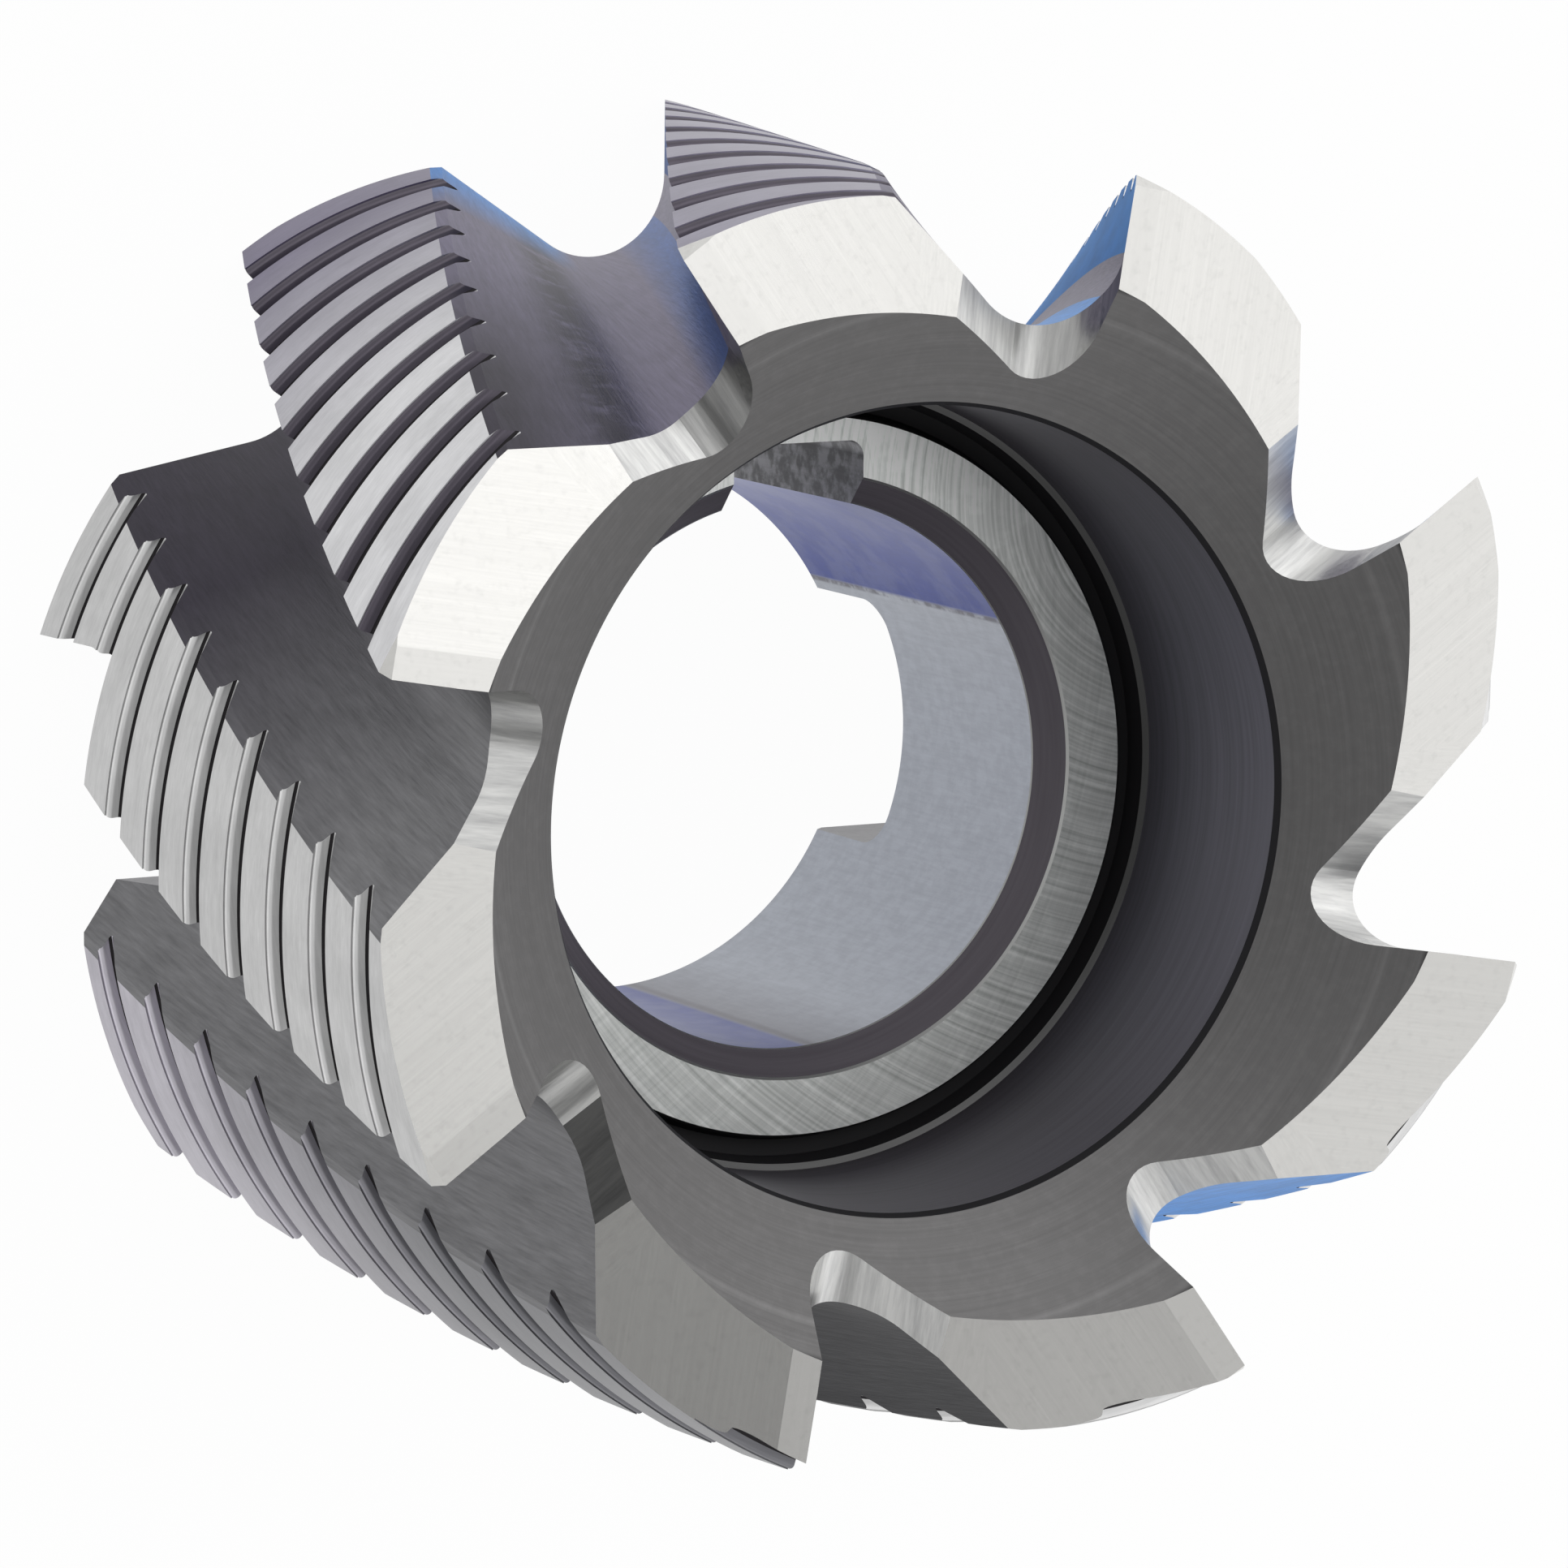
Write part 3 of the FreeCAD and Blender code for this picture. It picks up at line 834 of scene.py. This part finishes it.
class Finishes:
    """The materials of the cutter, one for each surface."""

    def __init__(self, sizes, colours):
        self.s = sizes
        self.c = colours
        self.groups = {"place": place_group(sizes), "marks": marks_group(), "stain": stain_group()}

    def start(self, name):
        return Finish(name, self.s, self.groups)

    def plain(self, name, colour, direction, spacing, length, contrast, roughness, metallic=0.9):
        """A machined surface in one colour, with marks."""
        w = self.start(name)
        marks = w.streaks(direction, spacing, length, 0.6)
        tint = w.streaked(colour, marks, 1 - contrast, 1 + contrast)
        return w.end(tint, roughness=roughness, metallic=metallic, height=marks, bump=0.2, depth=0.02)

    def land(self, name, level, spacing, shaded_edges=False):
        """Ground lands with fine marks round the cutter, lighter or more purple from tooth to tooth through
        painted light, painted shade and a painted purple reflection.
        """
        c = self.c
        w = self.start(name)
        bright, plain, lilac, tinted = c.land_bright, c.land_plain, c.land_lilac, c.land_purple_reflection
        # painted light, shade and purple reflection, one colour for each tooth, at the cutting end (front)
        # and at the back
        front = [plain, plain, tinted, bright, plain, c.land_grey, plain, plain]
        back = [plain, plain, tinted, c.land_dark, plain, lilac, plain, plain]
        # the groove edges of the two far lands get painted shade
        if shaded_edges:
            front[2:4] = back[2:4] = [c.groove_shade, c.groove_shade]
        front = w.by_tooth(0.5, front)
        back = w.by_tooth(0.5, back)
        tint = w.mix(w.between(w.place["Height"], 4.0, 26.0), back, front)
        marks = w.streaks("round", spacing, 14.0, 0.6)
        tint = w.streaked(tint, marks, 0.86 * level, 1.12 * level)
        tint = w.mottled(tint, 5.0, 0.5, 0.94, 1.03)
        return w.end(tint, roughness=0.34, metallic=0.9, height=marks, bump=0.2, depth=0.01)

    def rake(self):
        """Rake faces, with a painted blue reflection on some teeth."""
        c = self.c
        w = self.start("Rake face")
        blue, deep, grey = c.rake_blue_reflection, c.rake_deep_blue_reflection, c.rake
        # painted blue reflection on some teeth, plain grey on the rest
        tint = w.by_tooth(0.5, [blue, blue, deep, grey, grey, grey, blue, grey])
        marks, bands = w.marked(18, 0.3, 8.0)
        tint = w.streaked(tint, bands, 0.88, 1.1)
        return w.end(tint, roughness=0.62, metallic=0.5, height=marks, bump=0.15, depth=0.02)

    def flute(self):
        """Milled flutes with slanting feed marks: grey, with a painted purple reflection, with painted shade
        that is nearly black, and with a painted blue reflection beside a blue rake face and at the back of
        one flute."""
        c = self.c
        w = self.start("Milled flute")
        grey, cast, dark, blue, deep = c.flute, c.flute_purple_reflection, c.flute_dark, c.rake_blue_reflection, c.flute_deep
        # painted purple reflection, painted shade and painted blue reflection, one colour for each tooth, at
        # the cutting end (front) and at the back
        front = w.by_tooth(0.1, [cast, cast, cast, grey, grey, deep, blue, grey])
        back = w.by_tooth(0.1, [cast, cast, cast, dark, grey, deep, blue, grey])
        height = w.place["Height"]
        tint = w.mix(w.between(height, 12.0, 34.0), back, front)
        share = w.math("FRACT", w.place["Tooth"])
        tooth = w.math("FLOOR", w.place["Tooth"])
        first_two = w.math("COMPARE", tooth, 0.5, 0.6)
        third = w.math("COMPARE", tooth, 2.0, 0.2)
        # each patch: its colour, and what its strength is the product of; the blue patches are painted blue
        # reflection
        patches = [
            (blue, w.between(share, 0.2, 0.1), first_two),
            (c.rake_deep_blue_reflection, w.between(share, 0.1, 0.02), third),
            (dark, w.between(share, 0.27, 0.33), w.between(share, 0.42, 0.36), third,
             w.stained(1.6, 0.42), 0.85),
            (dark, w.between(share, 0.3, 0.5), w.between(height, 14.0, 30.0), third, 0.95),
            (blue, w.between(share, 0.24, 0.3), w.between(height, 7.0, 1.0), third, 0.8),
        ]
        for colour, *strength in patches:
            tint = w.mix(w.product(*strength), tint, colour)
        marks = w.streaks(-8, 0.2, 3.5, 0.7)
        tint = w.streaked(tint, marks, 0.74, 1.26)
        tint = w.mottled(tint, 3.5, 0.58, 1.0, 0.9)
        return w.end(tint, roughness=0.45, metallic=0.9, height=marks, bump=0.5, depth=0.06)

    def end_land(self, name, contrast):
        """Ground end faces with thin faint marks along them."""
        w = self.start(name)
        marks = w.streaks("end land", 0.12, 5.0, 0.6)
        tint = w.streaked(self.c.end_land, marks, 1 - contrast, 1.0)
        tint = w.mottled(tint, 0.5, 0.62, 1.0, 0.94)
        return w.end(tint, roughness=0.26, metallic=0.9, height=marks, bump=0.12, depth=0.01)

    def gash(self, name, light, painted_light):
        """Milled gashes with straight streaks along their sweep, with painted light and shade that make them
        lighter or darker from tooth to tooth.
        """
        w = self.start(name)
        marks = w.streaks("gash", 0.22, 30.0, 0.5)
        tint = w.mix(w.between(marks, 0.34, 0.6), self.c.gash_dark, light)
        # painted light and shade, one level for each tooth
        level = w.by_tooth(0.1, [linear(code) for code in painted_light])
        tint = w.mix(1.0, tint, level, "MULTIPLY")
        return w.end(tint, roughness=0.3, metallic=0.9, height=marks, bump=0.15, depth=0.02)

    def cone(self):
        """Turned cone with fine rings and one faint lighter ring a quarter of the way in, with painted shade
        towards +X and painted light towards -Y."""
        c, s = self.c, self.s
        w = self.start("Turned cone")
        radius, azimuth = w.place["Radius"], w.place["Azimuth"]
        outer = s.ring_radius / MM
        near = w.between(w.gap(radius, 0.76 * outer + 0.24 * s.mouth_radius / MM), 0.22, 0.02)
        rim = w.between(radius, outer - 0.22, outer - 0.04)
        tint = w.mix(w.product(near, 0.5), c.cone, c.cone_line)
        tint = w.mix(w.product(rim, 0.7), tint, c.undercut)
        marks = w.streaks("round", 0.16, 9.0, 0.8)
        tint = w.streaked(tint, marks, 0.88, 1.12)
        tint = w.mottled(tint, 0.7, 0.55, 0.97, 1.05)
        # painted shade on the side towards +X and painted light on the side towards -Y
        tint = w.shaded(tint, w.between(w.math("COSINE", azimuth), 0.2, 1.0), 1.0, 0.72)
        tint = w.shaded(tint, w.between(w.math("SINE", azimuth), -0.4, -1.0), 1.0, 1.12)
        return w.end(tint, roughness=0.55, metallic=0.35, height=marks, bump=0.12, depth=0.02)

    def counterbore(self):
        """Bored wall, nearly black, with painted light on the side towards +X."""
        c = self.c
        w = self.start("Bored counterbore")
        # painted light, stronger towards +X
        side = w.between(w.math("COSINE", w.place["Azimuth"]), 0.55, 1.0)
        tint = w.mix(side, c.counterbore, c.counterbore_painted_light)
        marks, bands = w.marked("round", 0.25, 12.0)
        tint = w.streaked(tint, marks, 0.85, 1.15)
        return w.end(tint, roughness=0.45, metallic=0.4, height=bands, bump=0.1, depth=0.02)

    def seat(self):
        """Ground ring with a main and a fainter set of curved marks: noise over the distance from a point.
        Painted light makes it lighter towards +Y.
        """
        c = self.c
        w = self.start("Ground seat")
        where = w.here()
        sets = []
        for x, y in ((21.0, 13.0), (-24.0, 9.0)):
            inputs = {0: where, 1: (x * MM, y * MM, self.s.seat_height)}
            gap = w.add("ShaderNodeVectorMath", inputs, operation="DISTANCE").outputs["Value"]
            sets.append(w.noise(w.vector(gap, 0.0, 0.0), 3800.0))
        pattern = w.math("MULTIPLY_ADD", sets[0], 0.78, w.product(sets[1], 0.22))
        tint = w.mix(w.between(pattern, 0.36, 0.6), c.seat_dark, c.seat)
        # painted light, lighter towards +Y
        tint = w.shaded(tint, w.between(w.axes(where)["Y"], 6 * MM, 17 * MM), 1.0, 1.45)
        tint = w.mottled(tint, 1.4, 0.56, 0.93, 1.05)
        return w.end(tint, roughness=0.38, metallic=0.45, height=pattern, bump=0.15, depth=0.01)

    def bore(self):
        """Ground bore, mottled, with two sectors of painted blue reflection that end at dark lines along the
        axis.
        """
        c = self.c
        w = self.start("Ground bore")
        degrees = w.product(w.place["Azimuth"], 180 / math.pi)
        # the two sectors of painted blue reflection, growing lighter from 31 to 75 degrees
        upper = w.between(degrees, BLUE_ABOVE, BLUE_ABOVE + 0.9)
        lower = w.between(degrees, BLUE_BELOW, BLUE_BELOW - 1.5)
        blue = w.shaded(c.bore_blue_reflection, w.between(degrees, 31.0, 75.0), 1.0, 1.25)
        mottle = w.math("MULTIPLY_ADD", w.stained(2.2, 0.5), 0.12, 0.88)
        blue = w.mix(w.math("SUBTRACT", 1.0, mottle), blue, c.bore)
        grey = w.mix(w.product(w.between(degrees, -66.0, -83.0), 0.55), c.bore, c.bore_line)
        tint = w.mix(w.math("MAXIMUM", upper, lower), grey, blue)
        line_above = w.between(w.gap(degrees, LINE_ABOVE), 0.9, 0.3)
        line_below = w.between(w.gap(degrees, LINE_BELOW), 1.8, 0.4)
        dark = w.product(line_above, w.stained(1.0, 0.47), 0.75)
        dark = w.math("MAXIMUM", dark, w.product(line_below, 0.6))
        tint = w.mix(dark, tint, c.bore_line)
        marks, bands = w.marked("up", 0.25, 2.5)
        tint = w.streaked(tint, marks, 0.93, 1.07)
        tint = w.mottled(tint, 0.8, 0.5, 0.96, 1.04)
        return w.end(tint, roughness=0.34, metallic=1.0, height=bands, bump=0.1, depth=0.01)

    def keyway(self):
        """Broached keyway, mottled with dark marks."""
        w = self.start("Broached keyway")
        marks = w.streaks("up", 0.3, 6.0, 0.5)
        tint = w.streaked(self.c.keyway, marks, 0.75, 1.2)
        tint = w.mottled(tint, 0.8, 0.5, 1.0, 0.38)
        return w.end(tint, roughness=0.42, metallic=0.85, height=marks, bump=0.3, depth=0.03)

    def all(self):
        """The materials in the order of the slots."""
        c = self.c
        made = {
            "land": self.land("Ground land", 1.0, 0.12),
            "groove": self.land("Groove floor", 0.97, 0.14),
            # groove edges: painted highlight along the crests of most lands, painted shade on the two far
            # lands
            "groove edge": self.land("Groove edge", 1.35, 0.14, shaded_edges=True),
            # painted shade in the groove's crease
            "groove line": self.plain("Groove line", c.groove_crease_shade, "round", 0.14, 10.0, 0.15, 0.5),
            "rake": self.rake(),
            "flute": self.flute(),
            "end land": self.end_land("Ground end land", 0.1),
            "end facet": self.end_land("Ground facet", 0.05),
            "gash": self.gash("Milled gash", c.gash_light, GASH_PAINTED_LIGHT),
            "gash floor": self.gash("Gash floor", c.gash_light, GASH_FLOOR_PAINTED_LIGHT),
            "gash wall": self.gash("Gash wall", c.rake, ["ffffff"] * 8),
            "cone": self.cone(),
            "counterbore": self.counterbore(),
            # painted shade in the undercut
            "undercut": self.plain("Dark undercut", c.undercut, "round", 0.3, 12.0, 0.2, 0.6, 0.2),
            "rim line": self.plain("Rim line", c.rim_line, "round", 0.3, 12.0, 0.2, 0.3),
            # painted highlight on the small rounded edges
            "bright edge": self.plain("Bright edge", c.edge_highlight, "round", 0.3, 12.0, 0.1, 0.3),
            "seat": self.seat(),
            "bore chamfer": self.plain("Bore chamfer", c.bore_chamfer, "round", 0.25, 12.0, 0.2, 0.4, 0.35),
            "bore": self.bore(),
            "keyway": self.keyway(),
            "drive slot": self.plain("Milled slot", c.slot, "round", 0.3, 8.0, 0.2, 0.42),
            "back": self.plain("Ground back", c.back, "round", 0.2, 20.0, 0.12, 0.36),
        }
        return [made[name] for name in SURFACES]


# Operators

class SHELLMILL_OT_cutter(bpy.types.Operator):
    """Build the cutter from its section, blank, gashes, reliefs, chip grooves, keyway and slot"""

    bl_idname = "shell_mill.cutter"
    bl_label = "Cutter"

    def execute(self, context):
        s = context.scene.shell_mill_sizes
        materials = Finishes(s, context.scene.shell_mill_finish).all()
        body = mesh_object("helical body", helical_body(s), materials)
        cuts = [("blank", turned_blank(s), "INTERSECT")]
        for name, shape, slope in (("gash", gash_tool(s), s.gash_slope), ("relief", relief_tool(s), 0)):
            for i in range(s.teeth):
                cuts.append((f"{name} {i}", placed_at_tooth(s, shape, i, slope), "DIFFERENCE"))
        cuts.append(("chip grooves", groove_tools(s), "DIFFERENCE"))
        cuts.append(("keyway", keyway_tool(s), "DIFFERENCE"))
        cuts.append(("drive slot", slot_tool(s), "DIFFERENCE"))
        tools = []
        for name, shape, operation in cuts:
            tool = mesh_object(name, shape, materials)
            combine(body, tool, operation)
            tools.append(tool)
        cutter = settled(body, tools, "cutter_body")
        shade(cutter.data)
        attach(cutter, "root")
        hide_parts("shell_end_mill")
        return {"FINISHED"}


class SHELLMILL_OT_stage(bpy.types.Operator):
    """Set up the pale floor, the soft lamps, the room light and the camera"""

    bl_idname = "shell_mill.stage"
    bl_label = "Floor, light and camera"

    def execute(self, context):
        look = context.scene.shell_mill_studio
        add_floor(look)
        add_room(look)
        add_lamp("Key lamp", azimuth=60, elevation=60, distance=0.55, size=0.50, power=look.key_power)
        add_lamp("Far panel", azimuth=12, elevation=38, distance=0.60, size=0.60, power=look.panel_power)
        add_camera()
        context.scene.view_settings.view_transform = "Standard"
        return {"FINISHED"}


def add_floor(look):
    """A pale floor just under the cutter, plain white where it is seen or mirrored, and clear from below."""
    half = look.floor_size / 2
    gap = 0.02 * MM
    corners = [(-half, -half, -gap), (half, -half, -gap), (half, half, -gap), (-half, half, -gap)]
    material = new_material("Pale floor")
    w = Wiring(material.node_tree)
    plain = w.add("ShaderNodeBsdfDiffuse", {"Color": look.floor_colour}).outputs[0]
    white = w.add("ShaderNodeEmission", {"Color": (1, 1, 1), "Strength": 1.0}).outputs[0]
    path = w.add("ShaderNodeLightPath").outputs
    seen = w.math("MAXIMUM", path["Is Camera Ray"], path["Is Glossy Ray"])
    seen = w.math("MAXIMUM", seen, path["Is Transmission Ray"])
    shown = w.add("ShaderNodeMixShader", {0: w.product(seen, 0.97), 1: plain, 2: white}).outputs[0]
    behind = w.add("ShaderNodeNewGeometry").outputs["Backfacing"]
    clear = w.add("ShaderNodeBsdfTransparent").outputs[0]
    sided = w.add("ShaderNodeMixShader", {0: behind, 1: shown, 2: clear}).outputs[0]
    w.add("ShaderNodeOutputMaterial", {"Surface": sided})
    mesh_object("floor", (np.array(corners), [(0, 1, 2, 3)], [0]), [material])


def add_room(look):
    """Even light from all sides. Polished steel sees it bright on the far side and dim overhead, and only
    dull surfaces get the room light's share."""
    dim = Vector((0.03, -0.11, 0.99)).normalized()
    dim_from, dim_to = math.radians(40), math.radians(5)
    far = (math.cos(math.radians(5)), math.sin(math.radians(5)), 0.0)
    world = bpy.data.worlds.new("Room")
    world.use_nodes = True
    bpy.context.scene.world = world
    w = Wiring(world.node_tree)
    direction = w.add("ShaderNodeTexCoord").outputs["Generated"]

    def towards(point):
        inputs = {0: direction, 1: tuple(point)}
        return w.add("ShaderNodeVectorMath", inputs, operation="DOT_PRODUCT").outputs["Value"]

    def choice(factor, a, b):
        return w.add("ShaderNodeMix", {0: factor, 2: a, 3: b}, data_type="FLOAT").outputs[0]

    overhead = w.between(w.math("ARCCOSINE", towards(dim)), dim_from, dim_to)
    side = w.between(towards(far), -0.35, 0.35, "SMOOTHSTEP")
    level = w.product(w.math("MULTIPLY_ADD", side, 0.3, 0.7), w.math("MULTIPLY_ADD", overhead, -0.88, 1.0))
    path = w.add("ShaderNodeLightPath").outputs
    mirror = w.math("MAXIMUM", path["Is Glossy Ray"], path["Is Transmission Ray"])
    level = choice(mirror, w.product(level, look.room_light), level)
    level = choice(path["Is Camera Ray"], level, 1.0)
    room = w.add("ShaderNodeBackground", {"Color": (1, 1, 1), "Strength": level})
    w.add("ShaderNodeOutputWorld", {"Surface": room.outputs[0]})


def add_lamp(name, azimuth, elevation, distance, size, power):
    """A square lamp that faces the cutter from this azimuth and elevation in degrees."""
    a, e = math.radians(azimuth), math.radians(elevation)
    away = Vector((math.cos(a) * math.cos(e), math.sin(a) * math.cos(e), math.sin(e)))
    data = bpy.data.lights.new(name, "AREA")
    data.size = size
    data.energy = power
    lamp = new_object(name, data)
    lamp.location = away * distance
    lamp.rotation_euler = away.to_track_quat("Z", "Y").to_euler()


def add_camera():
    data = bpy.data.cameras.new("Camera")
    data.lens = 231.86
    data.sensor_width = 36
    data.clip_start = 0.01
    camera = new_object("Camera", data)
    right = (0.8936, 0.0, 0.4489)
    up = (0.06356, 0.98993, -0.12653)
    back = (-0.44438, 0.14159, 0.88461)
    place = Matrix((right, up, back)).transposed().to_4x4()
    place.translation = (-0.21828, 0.06901, 0.45501)
    camera.matrix_world = place
    bpy.context.scene.camera = camera


class SHELLMILL_PT_panel(bpy.types.Panel):
    """Lists the steps and their sizes"""

    bl_label = "Shell mill"
    bl_idname = "SHELLMILL_PT_panel"
    bl_space_type = "VIEW_3D"
    bl_region_type = "UI"
    bl_category = "Shell mill"

    def draw(self, context):
        steps = [
            (SHELLMILL_OT_cutter, ["shell_mill_sizes", "shell_mill_finish"]),
            (SHELLMILL_OT_stage, ["shell_mill_studio"]),
        ]
        for step, groups in steps:
            box = self.layout.box()
            box.operator(step.bl_idname)
            for name in groups:
                group = getattr(context.scene, name)
                for key in group.bl_rna.properties.keys():
                    if key not in ("rna_type", "name"):
                        box.prop(group, key)


CLASSES = [CutterSizes, CutterFinish, StudioLook, SHELLMILL_OT_cutter, SHELLMILL_OT_stage,
           SHELLMILL_PT_panel]


def register():
    for item in CLASSES:
        bpy.utils.register_class(item)
    bpy.types.Scene.shell_mill_sizes = bpy.props.PointerProperty(type=CutterSizes)
    bpy.types.Scene.shell_mill_finish = bpy.props.PointerProperty(type=CutterFinish)
    bpy.types.Scene.shell_mill_studio = bpy.props.PointerProperty(type=StudioLook)


def unregister():
    del bpy.types.Scene.shell_mill_sizes
    del bpy.types.Scene.shell_mill_finish
    del bpy.types.Scene.shell_mill_studio
    for item in reversed(CLASSES):
        bpy.utils.unregister_class(item)


def main():
    register()
    bpy.ops.shell_mill.cutter()
    bpy.ops.shell_mill.stage()


if __name__ == "__main__":
    main()
